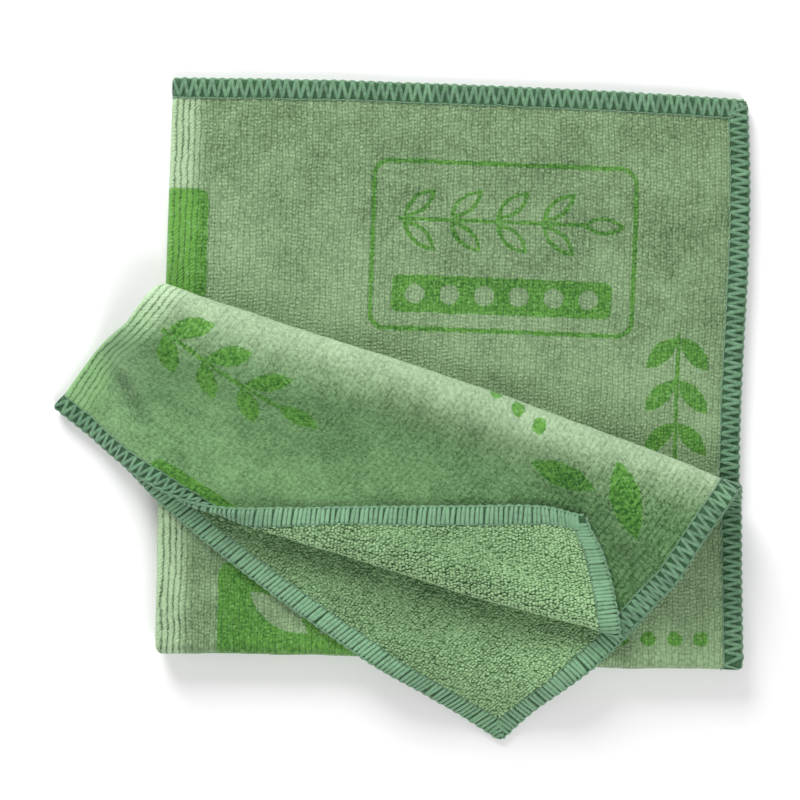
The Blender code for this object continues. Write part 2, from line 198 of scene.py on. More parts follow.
def pair_middle(s, v, fix=None):
    """Middle surface of the two layers that share the left fold."""
    y, z = near_fold(v)
    p = plan(s, y)
    run, along = beyond_roll(p)
    back = (v > HALF + R_NEAR * math.pi / 2) & (run > 0.0)
    radii = roll_radii(along)
    q, dz, ls = roll_profile(run, *radii[:4], LEVEL[2] - LEVEL[1])
    across = roll_start(along) + q
    rolled = ROLL_A + along[..., None] * ROLL_T + across[..., None] * ROLL_N
    zr = z + dz
    if fix is not None:
        end, _ = beyond_roll(plan(s, np.full_like(y, Y_MAX)))
        crest = ls[0] + ls[1] + radii[2] * SHOULDER
        f = np.clip((run - crest) / np.maximum(end - crest, 1.0), 0.0, 1.3)[..., None]
        f = f * f / (f + 0.12) * 1.12
        t = np.clip(s / S_MAX, 0.0, 1.0)[..., None]
        rolled = rolled + f * ((1 - t) * fix[0] + t * fix[1])
        out_end = np.array([(TIP_LEFT - TIP_NEAR)[1], (TIP_NEAR - TIP_LEFT)[0]])
        out_end = -out_end / np.linalg.norm(out_end)
        out_right = np.array([0.73, -0.68])
        g = 6.75 * f * (1.0 - f) ** 2
        rolled = rolled + np.sin(math.pi * t ** 1.3) ** 2 * f * END_BOW * out_end
        rolled = rolled + g * (t * t * RIGHT_BOW * out_right - (1.0 - t) ** 3 * LEFT_BOW * out_right)
        zr = droop(rolled, zr)
    p = np.where(back[..., None], rolled, p)
    z = np.where(back, zr, z)
    return np.concatenate([p, z[..., None]], axis=-1)


def over_edge(p):
    """How far a plan point lies outside the left or near edge of the folded square."""
    def outside(a, b):
        t = (b - a) / np.linalg.norm(b - a)
        d = p - a
        return d[..., 0] * t[1] - d[..., 1] * t[0]
    return np.maximum(outside(CORNERS[3], CORNERS[0]), outside(CORNERS[0], CORNERS[1]))


def droop(p, z):
    run = DROOP_RUN * (1.0 + 0.05 * np.clip(z - LEVEL[2], 0.0, 12.0))
    f = smoother((over_edge(p) + 1.0) / run)
    return z * (1.0 - f) + DROOP_LEVEL * f


def tip_fixes():
    ends = pair_middle(np.array([0.0, S_MAX]), np.array([SIDE, SIDE]))
    return TIP_LEFT - ends[0, :2], TIP_NEAR - ends[1, :2]


FIX = tip_fixes()


def middle(s, v):
    return pair_middle(s, v, FIX)


def find_on_pair(target):
    """Cloth position (s, v) of the turned-back pair that lies at a plan point."""
    sv = np.array([100.0, 380.0])
    e = 0.5
    for _ in range(40):
        here, by_s, by_v = middle(sv[0] + np.array([0, e, 0]), sv[1] + np.array([0, 0, e]))[:, :2]
        step = np.linalg.solve(np.stack([by_s - here, by_v - here], axis=1) / e, target - here)
        sv = sv + np.clip(step, -25.0, 25.0)
    return sv


TURN_SV = (find_on_pair(TURN_A), find_on_pair(TURN_B))
TURN_T = (TURN_SV[1] - TURN_SV[0]) / np.linalg.norm(TURN_SV[1] - TURN_SV[0])
TURN_N = np.array([-TURN_T[1], TURN_T[0]])
if TURN_N @ (np.array([S_MAX, SIDE]) - TURN_SV[0]) < 0:
    TURN_N = -TURN_N
TURN_START = -(TURN_R[0] + THICK / 2)


def turned_up(s, v):
    """The turned-up corner: new cloth position, and height above its layer."""
    ds, dv = s - TURN_SV[0][0], v - TURN_SV[0][1]
    d = ds * TURN_N[0] + dv * TURN_N[1]
    t = ds * TURN_T[0] + dv * TURN_T[1]
    run = d - TURN_START
    q, h, _ = roll_profile(run, *TURN_R, TURN_REST)
    q = np.where(run > 0.0, TURN_START + q, d)
    h = np.where(run > 0.0, h, 0.0)
    return TURN_SV[0][0] + q * TURN_N[0] + t * TURN_T[0], TURN_SV[0][1] + q * TURN_N[1] + t * TURN_T[1], h


def upper_in(s, v):
    """The topmost layer lies a little shorter than the one below it."""
    share = smooth((v - 300.0) / 100.0)
    tip = TIP_ROUND * np.exp(-((s - S_MAX) ** 2 + (v - SIDE) ** 2) / 13.0 ** 2)
    s_in = s - UPPER_NARROW * share * smooth((s - 30.0) / 150.0) - tip
    v_in = v - UPPER_SHORT * share * smooth((s - 12.0) / 70.0) - tip
    return s_in, v_in


def from_edge(u, v):
    """Distance from the nearest edge of the flat sheet."""
    return np.minimum(np.minimum(HALF - np.abs(u), v), SIDE - v)


def hem_share(u, v):
    """1 in the overlocked edge, 0 in the field; the edge is squeezed where it is folded."""
    squeeze = (1.0 - np.exp(-((v - HALF) / 7.0) ** 2)) * (1.0 - np.exp(-((u / 6.0) ** 2)))
    return squeeze * (1.0 - smooth((from_edge(u, v) - 0.55 * HEM) / (0.45 * HEM)))


def rises(p):
    z = np.zeros(p.shape[:-1])
    for gx, gy, along, across, angle, height in RISES:
        c, s = math.cos(math.radians(angle)), math.sin(math.radians(angle))
        d = p[..., :2] - plan_mm(gx, gy)
        a, b = d[..., 0] * c + d[..., 1] * s, -d[..., 0] * s + d[..., 1] * c
        z = z + height * np.exp(-0.5 * ((a / along) ** 2 + (b / across) ** 2))
    return z


def folded(u, v):
    """Cloth position (u, v) -> its place in the folded cloth (middle of the sheet)."""
    u, v = np.asarray(u, float), np.asarray(v, float)
    s, w = side_fold(u)
    upper = u > R_SIDE * math.pi / 2
    s_in, v_in = upper_in(s, v)
    s2, v2, h = turned_up(s_in, v_in)
    s_at, v_at = np.where(upper, s2, s), np.where(upper, v2, v)
    h = np.where(upper, h, 0.0)
    e = 0.05
    m = middle(s_at, v_at)
    d_s = middle(s_at + e, v_at) - middle(s_at - e, v_at)
    d_v = middle(s_at, v_at + e) - middle(s_at, v_at - e)
    n = np.cross(d_v, d_s)
    n = n / np.linalg.norm(n, axis=-1, keepdims=True)
    p = m + (w + h)[..., None] * n
    # upper layers rise softly, the stack is fuller at its folds, hems are a little thicker
    above = smooth((p[..., 2] - LIFT) / PITCH)
    over = over_edge(p[..., :2])
    stack = np.clip(p[..., 2] - LIFT, 0.0, 7.5)
    puff = np.exp(-((np.minimum(over, 0.0) / PUFF_RUN) ** 2))
    puff = puff * (1.0 - smoother((over - 1.0) / (0.8 * DROOP_RUN)))
    p[..., 2] += above * rises(p) + stack * PUFF * puff
    p[..., 2] += 0.5 * (HEM_THICK - THICK) * hem_share(u, v)
    return p


def facing(u, v):
    """Direction in which the printed face looks."""
    e = 0.03
    du = folded(u + e, v) - folded(u - e, v)
    dv = folded(u, v + e) - folded(u, v - e)
    n = np.cross(dv, du)
    return n / np.linalg.norm(n, axis=-1, keepdims=True)


# ---------------- the sheet
CORE = 0.62  # half thickness of the cloth inside its overlocked edge
FIELD = 0.9  # half thickness of the cloth
FOLD_COLUMNS = 10  # round the left fold
WIDE_COLUMNS = 98  # from there to the overlocked edge
HEM_STEPS = 5  # across the overlocked edge
BASE_ROWS = 72  # from the far overlocked edge to the near fold
NEAR_ROWS = 14  # round the near fold
# shares of the roll's four arcs at which a stretch of rows ends, and the number of its rows
ROLL_ROWS = (((0, 0, 0, 0), 44), ((1, 0, 0, 0), 8), ((1, 1, 0, 0), 6),
             ((1, 1, 1, 0), 20), ((1, 1, 1, 0.9), 12))
END_ROWS = 14  # from the roll to the overlocked edge
# unevenness: height, then across u its rate, sway, the sway's rate and phase, then across v
WAVES = (
    (0.10, 0.31, 1.7, 0.083, 0.0, 0.27, 1.3, 0.071),
    (0.05, 0.67, 2.0, 0.19, 0.0, 0.59, 0.9, 0.23),
    (0.16, 0.163, 1.4, 0.047, 1.0, 0.088, 1.1, 0.061),
)
CALM = 5.0  # half width of the even stretch at the left fold
UNDER = -60.0  # "past_roll" is below this under the turned-back pair
MAP_SIZE, MAP_MARGIN = (0.98, 0.485), (0.01, 0.005)  # of one side of the cloth on the bake map


def spread(a, b, n):
    """n steps from a to b, without a."""
    return [a + (b - a) * i / n for i in range(1, n + 1)]


def columns():
    """u of the mesh's columns; they are closest round the left fold."""
    bend = R_SIDE * math.pi / 2
    right = spread(bend, HALF - HEM, WIDE_COLUMNS) + spread(HALF - HEM, HALF, HEM_STEPS)
    mid = [-bend] + spread(-bend, bend, FOLD_COLUMNS)
    return np.array([-x for x in reversed(right)] + mid + right)


def row_at_run(s, shares):
    """v of the line that lies past the start of the roll by these shares of its four arcs."""
    v = np.full_like(s, 300.0)
    for _ in range(12):
        y, _ = near_fold(v)
        run, along = beyond_roll(plan(s, y))
        _, _, arcs = roll_profile(run, *roll_radii(along)[:4], LEVEL[2] - LEVEL[1])
        v = v + (sum(share * arc for share, arc in zip(shares, arcs)) - run)
    return v


def rows(s):
    """v of the mesh's rows in every column; they follow the folds that they pass."""
    one = np.ones_like(s)
    bend = R_NEAR * math.pi / 2
    level = [0.0] + spread(0.0, HEM, HEM_STEPS) + spread(HEM, HALF - bend, BASE_ROWS)
    level += spread(HALF - bend, HALF + bend, NEAR_ROWS)
    out = [v * one for v in level]
    stretches = [(row_at_run(s, shares), n) for shares, n in ROLL_ROWS]
    stretches += [((SIDE - HEM) * one, END_ROWS), (SIDE * one, HEM_STEPS)]
    here = (HALF + bend) * one
    for there, n in stretches:
        out += spread(here, there, n)
        here = there
    return np.array(out)


def wobble(u, v):
    """Small unevenness of the soft sheet, in mm."""
    z = 0.09 * np.sin(u * 0.117 + v * 0.201 + 0.8) * np.sin(v * 0.143 - u * 0.096 + 2.1)
    for high, u_rate, u_sway, u_turn, phase, v_rate, v_sway, v_turn in WAVES:
        across = np.sin(u * u_rate + u_sway * np.sin(v * u_turn + phase))
        z = z + high * across * np.sin(v * v_rate + v_sway * np.sin(u * v_turn))
    return z * (1.0 - np.exp(-(u / CALM) ** 2))


def skin_half(u, v):
    """Half the thickness of the sheet, pressed under its stitches."""
    share = 1.0 - smooth((from_edge(u, v) - 0.80 * HEM) / (0.40 * HEM))
    return FIELD + (CORE - FIELD) * share


cols = columns()
S_COLS, _ = side_fold(cols)
V = rows(S_COLS)
U = np.broadcast_to(cols, V.shape)
mid_place = folded(U, V)
mid_facing = facing(U, V)
soft = wobble(U, V)[..., None]
half = skin_half(U, V)[..., None]
top = mid_place + (soft + half) * mid_facing
low = mid_place + (soft - half) * mid_facing

# the part's own shift: the middle of its plan lies on the origin
cad_half = (0.5 * (THICK + (HEM_THICK - THICK) * hem_share(U, V)))[..., None]
cad_skins = [mid_place + cad_half * mid_facing, mid_place - cad_half * mid_facing]
cad_skins = np.concatenate(cad_skins).reshape(-1, 3)
SHIFT = 0.5 * (cad_skins.min(axis=0) + cad_skins.max(axis=0))
SHIFT[2] = 0.0


def placed(points):
    """Metres in the frame, lying flat where the cloth touches the table."""
    points = (points - SHIFT) * MM
    points[:, 2] = np.maximum(points[:, 2], 0.0)
    return points


def smooth_mesh(name, points, faces):
    mesh = bpy.data.meshes.new(name)
    mesh.from_pydata(placed(points).tolist(), [], faces)
    mesh.update()
    mesh.shade_smooth()
    return mesh


def keep_vectors(mesh, name, values):
    kept = mesh.attributes.new(name, "FLOAT_VECTOR", "POINT")
    kept.data.foreach_set("vector", values.astype(np.float32).ravel())


def linked(name, data):
    ob = bpy.data.objects.new(name, data)
    bpy.context.scene.collection.objects.link(ob)
    return ob


nv, nu = V.shape
count = nv * nu
index = np.arange(count).reshape(nv, nu)
a, b, c, d = index[:-1, :-1].ravel(), index[:-1, 1:].ravel(), index[1:, 1:].ravel(), index[1:, :-1].ravel()
face_quads = np.stack([a, d, c, b], axis=1)
back_quads = np.stack([a, b, c, d], axis=1) + count
rim = np.concatenate([index[0, :], index[1:, -1], index[-1, -2::-1], index[-2:0:-1, 0]])
rim_next = np.roll(rim, -1)
rim_quads = np.stack([rim, rim_next, rim_next + count, rim + count], axis=1)
quads = np.concatenate([face_quads, back_quads, rim_quads])
points = np.concatenate([top.reshape(-1, 3), low.reshape(-1, 3)])
mesh = smooth_mesh("folded_cloth", points, quads.tolist())

side = np.concatenate([np.ones(count), -np.ones(count)])
values = np.stack([np.tile(U.ravel(), 2), np.tile(V.ravel(), 2), side], axis=1)
keep_vectors(mesh, "flat_cloth", values)
# mm past the start of the roll; on the layers below, UNDER less how far they reach out from it
near_run, _ = beyond_roll(plan(np.broadcast_to(S_COLS, V.shape), near_fold(V)[0]))
near_run = np.where(V > HALF, np.maximum(near_run, UNDER), UNDER - np.clip(near_run, 0.0, 100.0))
roll = mesh.attributes.new("past_roll", "FLOAT", "POINT")
roll.data.foreach_set("value", np.tile(near_run.ravel(), 2).astype(np.float32))
# face in one half of the map, reverse in the other
layer = mesh.uv_layers.new(name="OFBake")
loops = np.zeros(len(mesh.loops), dtype=np.int32)
mesh.loops.foreach_get("vertex_index", loops)
uv = np.stack([(values[loops, 0] + HALF) / SIDE, values[loops, 1] / SIDE], axis=1)
uv = uv * np.array(MAP_SIZE) + np.array(MAP_MARGIN)
uv[:, 1] += np.where(values[loops, 2] < 0, 0.5, 0.0)
layer.uv.foreach_set("vector", uv.astype(np.float32).ravel())
slots = np.repeat([0, 1, 2], [len(face_quads), len(back_quads), len(rim_quads)])
mesh.polygons.foreach_set("material_index", slots.astype(np.int32))
cloth = linked("folded_cloth", mesh)
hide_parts("cloth")
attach(cloth, "root")


# ---------------- the overlocking
STITCH = 3.25  # one stitch along the edge
REACH = 6.2  # needle line, from the edge
CORNER_REACH, CORNER_SLOPE = 1.6, 0.95  # needle line at a corner, and its slope from there
EDGE_START = 1.0  # first stitch, from the corner
RIM_START = 0.8  # and the cord along the rim
EDGE_END = 0.2  # no thread comes nearer to the end of an edge
STRAND = (0.74, 0.35)  # half width and half height of a looper strand
BAR = (0.78, 0.43)  # the same on the reverse
PURL = (0.56, 0.52)  # the cord of crossed loops along the rim
NEEDLE = (0.24, 0.18)
SEAT = CORE + 0.18  # middle of a strand above the middle of the cloth
FACE_TONE, REVERSE_TONE = -0.55, 1.1  # the face's threads are darker
BAR_SHARES = (0.0, 0.46)  # where in its stitch each bar starts
# width along a strand: places and shares
ZIGZAG_TAPER = ((0, 0.08, 0.2, 0.42, 0.5, 0.58, 0.8, 0.92, 1),
                (0.6, 0.9, 1.05, 1.0, 0.8, 1.0, 1.05, 0.9, 0.6))
BAR_TAPER = ((0, 0.12, 0.5, 0.8, 1), (0.7, 1.0, 0.98, 0.72, 0.5))
NO_TAPER = ((0, 1), (1, 1))
SEAMS = (("far", 3), ("end", 5), ("half_a", 7), ("half_b", 11))  # edge and seed


def edge_point(edge, t, d, h):
    """A place by an edge: t along it, d inwards, h off the middle towards the print."""
    places = {"far": (t - HALF, d), "end": (t - HALF, SIDE - d),
              "half_a": (HALF - d, t), "half_b": (d - HALF, t)}
    u, v = places[edge]
    return folded(u, v) + (h + wobble(u, v))[..., None] * facing(u, v)


def curve_through(knots, per):
    """A smooth line through the knots (n, k, 3), with 'per' steps between neighbours."""
    k = knots
    before = np.concatenate([2 * k[:, :1] - k[:, 1:2], k[:, :-1]], axis=1)
    after = np.concatenate([k[:, 1:], 2 * k[:, -1:] - k[:, -2:-1]], axis=1)
    slope = 0.5 * (after - before)
    out = []
    for i in range(k.shape[1] - 1):
        for j in range(per if i < k.shape[1] - 2 else per + 1):
            x = j / per
            h00, h10 = 2 * x ** 3 - 3 * x ** 2 + 1, x ** 3 - 2 * x ** 2 + x
            h01, h11 = -2 * x ** 3 + 3 * x ** 2, x ** 3 - x ** 2
            out.append(h00 * k[:, i] + h10 * slope[:, i] + h01 * k[:, i + 1] + h11 * slope[:, i + 1])
    return np.stack(out, axis=1)


def facing_along(edge, t, d, per):
    """Face direction for every ring of a strand."""
    n = curve_through(edge_point(edge, t, d, 0.5) - edge_point(edge, t, d, -0.5), per)
    return n / np.linalg.norm(n, axis=-1, keepdims=True)


def reach(t):
    """Depth of the needle line; it comes out to the rim at the corners."""
    return np.minimum(REACH, CORNER_REACH + np.minimum(t, SIDE - t) * CORNER_SLOPE)


class Tubes:
    """Gathers flat-oval tubes into one mesh."""

    def __init__(self):
        self.points, self.quads, self.caps, self.notes, self.size = [], [], [], [], 0

    def add(self, line, normal, wide, high, sides, tone):
        """line (n, m, 3) in mm, normal (n, m, 3), wide and high (m,); n strands of m rings."""
        n, m, _ = line.shape
        tangent = np.gradient(line, axis=1)
        tangent /= np.maximum(np.linalg.norm(tangent, axis=-1, keepdims=True), 1e-9)
        across = np.cross(tangent, normal)
        across /= np.maximum(np.linalg.norm(across, axis=-1, keepdims=True), 1e-9)
        up = np.cross(across, tangent)
        angle = 2 * math.pi * np.arange(sides) / sides
        sideways = (wide[:, None] * np.cos(angle))[None, :, :, None] * across[:, :, None, :]
        upwards = (high[:, None] * np.sin(angle))[None, :, :, None] * up[:, :, None, :]
        self.points.append((line[:, :, None, :] + sideways + upwards).reshape(-1, 3))
        steps = np.linalg.norm(np.diff(line, axis=1), axis=-1)
        run = np.cumsum(np.concatenate([np.zeros((n, 1)), steps], axis=1), axis=1)
        note = [run[:, :, None], angle, np.asarray(tone)[:, None, None]]
        note = np.stack([np.broadcast_to(x, (n, m, sides)) for x in note], axis=-1)
        self.notes.append(note.reshape(-1, 3))
        i = self.size + np.arange(n * m * sides).reshape(n, m, sides)
        a, b = i[:, :-1, :], np.roll(i, -1, axis=2)[:, :-1, :]
        c, d = np.roll(i, -1, axis=2)[:, 1:, :], i[:, 1:, :]
        self.quads.append(np.stack([a, b, c, d], axis=-1).reshape(-1, 4))
        self.caps += i[:, 0, ::-1].tolist() + i[:, -1, :].tolist()
        self.size += n * m * sides

    def build(self, name):
        faces = np.concatenate(self.quads).tolist() + self.caps
        mesh = smooth_mesh(name, np.concatenate(self.points), faces)
        keep_vectors(mesh, "strand", np.concatenate(self.notes))
        return linked(name, mesh)


class Overlock:
    """The stitches along one edge of the cloth, each a little unlike the next."""

    def __init__(self, edge, seed):
        self.edge, self.rng, self.tubes = edge, np.random.default_rng(seed), Tubes()
        self.many = int((SIDE - 2 * EDGE_START) / STITCH)
        self.start = EDGE_START + STITCH * np.arange(self.many) + self.wander(0.10)
        self.tone = self.rng.uniform(0, 1, self.many)
        self.hole = reach(self.start) + self.wander(0.14)
        self.next_hole = reach(self.start + STITCH) + self.wander(0.14)

    def wander(self, size):
        return self.rng.normal(0, size, self.many)

    def strands(self, t, d, h, per, size, sides, tone, taper):
        """One strand a stitch through the knots of the lists t, d and h (see edge_point)."""
        t, d, h = [np.stack([np.broadcast_to(x, self.many) for x in knots], axis=1) for knots in (t, d, h)]
        t = np.clip(t, EDGE_END, SIDE - EDGE_END)
        line = curve_through(edge_point(self.edge, t, d, h), per)
        share = np.interp(np.linspace(0, 1, line.shape[1]), *taper)
        normal = facing_along(self.edge, t, d, per)
        self.tubes.add(line, normal, size[0] * share, size[1] * share, sides, tone)

    def zigzag(self):
        """On the face: from one needle hole to the rim and back to the next hole."""
        start, end, hole, next_hole = self.start, self.start + STITCH, self.hole, self.next_hole
        peak = start + (0.5 + self.wander(0.03)) * STITCH
        out = peak - start
        back = STITCH - out
        t = [start + 0.02, start + 0.16 * out, start + 0.72 * out, peak - 0.22, peak, peak + 0.22,
             end - 0.72 * back, end - 0.16 * back, end - 0.02]
        d = [hole, hole - 0.9, 1.5, 0.45, 0.05, 0.45, 1.5, next_hole - 0.9, next_hole]
        h = [0.35, SEAT, SEAT + 0.08, SEAT - 0.02, 0.50, SEAT - 0.02, SEAT + 0.08, SEAT, 0.35]
        self.strands(t, d, h, 3, STRAND, 7, self.tone + FACE_TONE, ZIGZAG_TAPER)

    def bars(self):
        """On the reverse: two flat bars a stitch, side by side, from the needle line to the rim."""
        for share in BAR_SHARES:
            foot = self.start + share * STITCH
            inner = reach(foot) + self.wander(0.12)
            lean = 0.85 + self.wander(0.22)
            t = [foot + part * lean for part in (0.0, 0.1, 0.7, 0.95, 1.0)]
            d = [inner, inner - 0.8, 1.6, 0.5, 0.05]
            h = [-0.35, -SEAT, -(SEAT + 0.03), -(SEAT - 0.06), -0.45]
            self.strands(t, d, h, 3, BAR, 7, np.roll(self.tone, 3) + REVERSE_TONE, BAR_TAPER)

    def bridges(self):
        """The needle thread: one short bridge a stitch on each side of the cloth."""
        start, end, hole, next_hole = self.start, self.start + STITCH, self.hole, self.next_hole
        t = [start - 0.05, start + 0.4, start + 0.5 * STITCH, end - 0.4, end + 0.05]
        d = [hole + 0.05, hole + 0.16, 0.5 * (hole + next_hole) + 0.26, next_hole + 0.16, next_hole + 0.05]
        tone = 0.6 + 0.4 * np.roll(self.tone, 5)
        for side in (1.0, -1.0):
            h = [side * high for high in (0.30, SEAT + 0.16, SEAT + 0.26, SEAT + 0.16, 0.30)]
            self.strands(t, d, h, 2, NEEDLE, 5, tone, NO_TAPER)

    def cord(self):
        """Along the rim the crossed loops make one scalloped cord."""
        knots = 4 * self.many
        t = np.linspace(RIM_START, SIDE - RIM_START, knots)[None, :]
        beat = 2 * math.pi * (t - EDGE_START) / STITCH
        d = -0.10 + 0.13 * np.cos(beat) + self.rng.normal(0, 0.03, (1, knots))
        h = 0.12 * np.sin(beat) + self.rng.normal(0, 0.03, (1, knots))
        line = curve_through(edge_point(self.edge, t, d, h), 2)
        along = np.linspace(RIM_START, SIDE - RIM_START, line.shape[1])
        thick = 1.0 - 0.13 * np.cos(2 * math.pi * (along - EDGE_START) / STITCH)
        normal = facing_along(self.edge, t, d, 2)
        self.tubes.add(line, normal, PURL[0] * thick, PURL[1] * thick, 8, [1.0])

    def build(self):
        self.zigzag()
        self.bars()
        self.bridges()
        self.cord()
        return self.tubes.build("overlock_" + self.edge)


stitched = [Overlock(edge, seed).build() for edge, seed in SEAMS]
for piece in stitched:
    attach(piece, "root")


# ---------------- the pile on the reverse that shows
NUB_STEP = (1.08, 0.98)  # between loops, across and along the wales
NUB_HIGH = (0.36, 0.84)  # above the reverse of the cloth
NUB_WIDE = 0.57  # radius at the foot
NUB_OVAL = 0.86  # share of it along the wales
NUB_LEAN = (0.08, 0.13)  # of the tips
NUB_RINGS = ((1.0, -0.35), (0.98, 0.22), (0.66, 0.74))  # radius share, height share
NUB_SIDES = 6
PILE_FROM = (20.0, 220.0)  # u and v where the grid of loops starts
PILE_CLEAR = (0.6, 0.5)  # from the stitches to the grid and to a loop
PILE_START = {1: 0.0, -1: -5.0}  # past the start of the turn, on either layer
TURN_EDGE = TURN_R[0] + THICK / 2  # past the start of the turn, where it is seen from above


def past_turn(u, v, sign):
    """Distance beyond the line where the corner is turned up, in the flat cloth."""
    s, _ = side_fold(u)
    if sign > 0:
        s, v = upper_in(s, v)
    return (s - TURN_SV[0][0]) * TURN_N[0] + (v - TURN_SV[0][1]) * TURN_N[1] - TURN_START


def reverse_point(u, v, h):
    """A place h above the reverse of the cloth."""
    return folded(u, v) + (wobble(u, v) - FIELD - h)[..., None] * facing(u, v)


def loop_places(sign, rng):
    """Places of the loops: an uneven grid over the part of the reverse that shows."""
    u, v = np.meshgrid(np.arange(PILE_FROM[0], HALF - REACH - PILE_CLEAR[0], NUB_STEP[0]),
                       np.arange(PILE_FROM[1], SIDE - REACH - PILE_CLEAR[0], NUB_STEP[1]))
    u = u + 0.25 * np.sin(v * 0.31) + rng.normal(0, 0.17, u.shape)
    v = v + 0.5 * NUB_STEP[1] * (np.arange(u.shape[1]) % 2) + rng.normal(0, 0.22, u.shape)
    keep = (past_turn(sign * u, v, sign) > PILE_START[sign]) & (v < SIDE - REACH - PILE_CLEAR[1])
    return sign * u[keep], v[keep]


def loop_light(u, v, sign):
    """How far each loop lies on the bend of the turned-up corner, and its painted light: lighter on the
    turned-up corner and most on its bend, a painted shadow on the lower layer below the bend, lighter
    towards the outer edge.
    """
    past = past_turn(u, v, sign) - TURN_EDGE
    if sign > 0:
        bent = np.exp(-((past / 4.0) ** 2))
        pale_and_painted_light = 0.42 * bent + 0.10
    else:
        bent = np.zeros(len(u))
        # painted shadow where the turned-up corner overhangs the lower layer
        pale_and_painted_light = -0.34 * np.exp(-((np.maximum(past, 0.0) / 9.0) ** 2))
    return bent, pale_and_painted_light + 0.35 * smooth((np.abs(u) - 150.0) / 46.0)


def loop_faces():
    """Faces of one loop: its walls, a fan to its tip and its foot."""
    faces = []
    for ring in range(len(NUB_RINGS) - 1):
        for k in range(NUB_SIDES):
            a, b = ring * NUB_SIDES + k, ring * NUB_SIDES + (k + 1) % NUB_SIDES
            faces.append((a, b, b + NUB_SIDES, a + NUB_SIDES))
    last = (len(NUB_RINGS) - 1) * NUB_SIDES
    tip = last + NUB_SIDES
    faces += [(last + k, last + (k + 1) % NUB_SIDES, tip) for k in range(NUB_SIDES)]
    faces.append(tuple(reversed(range(NUB_SIDES))))
    return faces


def pile(name, sign, seed):
    """Loops of the reverse as small leaning domes, on the half that has this sign of u."""
    rng = np.random.default_rng(seed)
    u, v = loop_places(sign, rng)
    n = len(u)
    bent, pale_and_painted_light = loop_light(u, v, sign)
    wide = NUB_WIDE * rng.uniform(0.78, 1.18, n)
    tufts = 0.85 + 0.3 * np.sin(u * 0.21 + 1.3 * np.sin(v * 0.17)) * np.sin(v * 0.19)
    high = rng.uniform(*NUB_HIGH, n) * tufts * (1.0 - 0.6 * bent)
    lean = rng.normal(0, 0.20, (n, 2)) + np.array(NUB_LEAN)
    tone = rng.uniform(0, 1, n)
    turn = rng.uniform(0, 2 * math.pi, n)
    places, notes = [], []
    for share, level in NUB_RINGS:
        up = max(level, 0.0)
        for k in range(NUB_SIDES):
            angle = turn + 2 * math.pi * k / NUB_SIDES
            rough = 1.0 + rng.normal(0, 0.10, n)
            du = share * wide * rough * np.cos(angle) + up * lean[:, 0]
            dv = NUB_OVAL * share * wide * rough * np.sin(angle) + up * lean[:, 1]
            places.append(reverse_point(u + du, v + dv, level * high))
            notes.append(np.stack([pale_and_painted_light, tone, np.full(n, up)], axis=-1))
    places.append(reverse_point(u + lean[:, 0], v + lean[:, 1], high))
    notes.append(np.stack([pale_and_painted_light, tone, np.ones(n)], axis=-1))
    faces = loop_faces()
    if sign > 0:
        faces = [tuple(reversed(face)) for face in faces]
    faces = [tuple(i + len(places) * j for i in face) for j in range(n) for face in faces]
    mesh = smooth_mesh(name, np.stack(places, axis=1).reshape(-1, 3), faces)
    keep_vectors(mesh, "loop", np.stack(notes, axis=1))
    ob = linked(name, mesh)
    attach(ob, "root")
    return ob


piled = [pile("pile_upper", 1, 21), pile("pile_lower", -1, 22)]


# ---------------- materials
def operator(operation, turned_round=False):
    def method(*terms):
        return Field.math(operation, *(reversed(terms) if turned_round else terms))
    return method


class Field:
    """A socket in a sum: operators make Math nodes."""

    tree = None

    def __init__(self, socket):
        self.socket = socket

    __add__, __radd__ = operator("ADD"), operator("ADD", True)
    __sub__, __rsub__ = operator("SUBTRACT"), operator("SUBTRACT", True)
    __mul__, __rmul__ = operator("MULTIPLY"), operator("MULTIPLY", True)
    __truediv__, __abs__ = operator("DIVIDE"), operator("ABSOLUTE")
    floor, part = operator("FLOOR"), operator("FRACT")
    sin, cos = operator("SINE"), operator("COSINE")
    least, most = operator("MINIMUM"), operator("MAXIMUM")

    @staticmethod
    def plug(term, slot):
        if isinstance(term, Field):
            Field.tree.links.new(term.socket, slot)
        else:
            slot.default_value = term

    @staticmethod
    def math(operation, *terms, clamp=False):
        node = Field.tree.nodes.new("ShaderNodeMath")
        node.operation, node.use_clamp = operation, clamp
        for slot, term in zip(node.inputs, terms):
            Field.plug(term, slot)
        return Field(node.outputs[0])

    def root(self):
        return Field.math("SQRT", self.most(0.0))

    def held(self):
        return Field.math("ADD", self, 0.0, clamp=True)


def made(kind, inputs, output=0, **settings):
    """The output of a new node with these settings and inputs."""
    node = Field.tree.nodes.new("ShaderNode" + kind)
    for name, value in settings.items():
        setattr(node, name, value)
    for name, term in inputs.items():
        Field.plug(term, node.inputs[name])
    return Field(node.outputs[output])


def ramp(x, a, b):
    """0 at a, 1 at b, smooth between."""
    return made("MapRange", {"Value": x, "From Min": a, "From Max": b}, interpolation_type="SMOOTHSTEP")


def between(x, rise, fall):
    """0, then 1 from the end of the rise to the start of the fall, then 0."""
    return ramp(x, *rise) * (1.0 - ramp(x, *fall))


def vector(x, y, z=0.0):
    return made("CombineXYZ", {"X": x, "Y": y, "Z": z})


def noise(at, scale, detail=2.0, rough=0.5):
    return made("TexNoise", {"Vector": at, "Scale": scale, "Detail": detail, "Roughness": rough})


def chance(x, y):
    """A chance value from 0 to 1 for each whole x and y."""
    return made("TexWhiteNoise", {"Vector": vector(x, y)}, "Value", noise_dimensions="2D")


def cells(at, jitter):
    """Distance from the nearest point of a loose grid of step 1."""
    inputs = {"Vector": at, "Scale": 1.0, "Randomness": jitter}
    return made("TexVoronoi", inputs, "Distance", voronoi_dimensions="2D")


def attribute(name):
    split = Field.tree.nodes.new("ShaderNodeSeparateXYZ")
    Field.plug(made("Attribute", {}, "Vector", attribute_name=name), split.inputs[0])
    return [Field(x) for x in split.outputs]


def scalar(name):
    return made("Attribute", {}, "Fac", attribute_name=name)


def object_place():
    return made("TexCoord", {}, "Object")


def blend(a, b, share):
    return made("Mix", {0: share, 6: a, 7: b}, 2, data_type="RGBA")


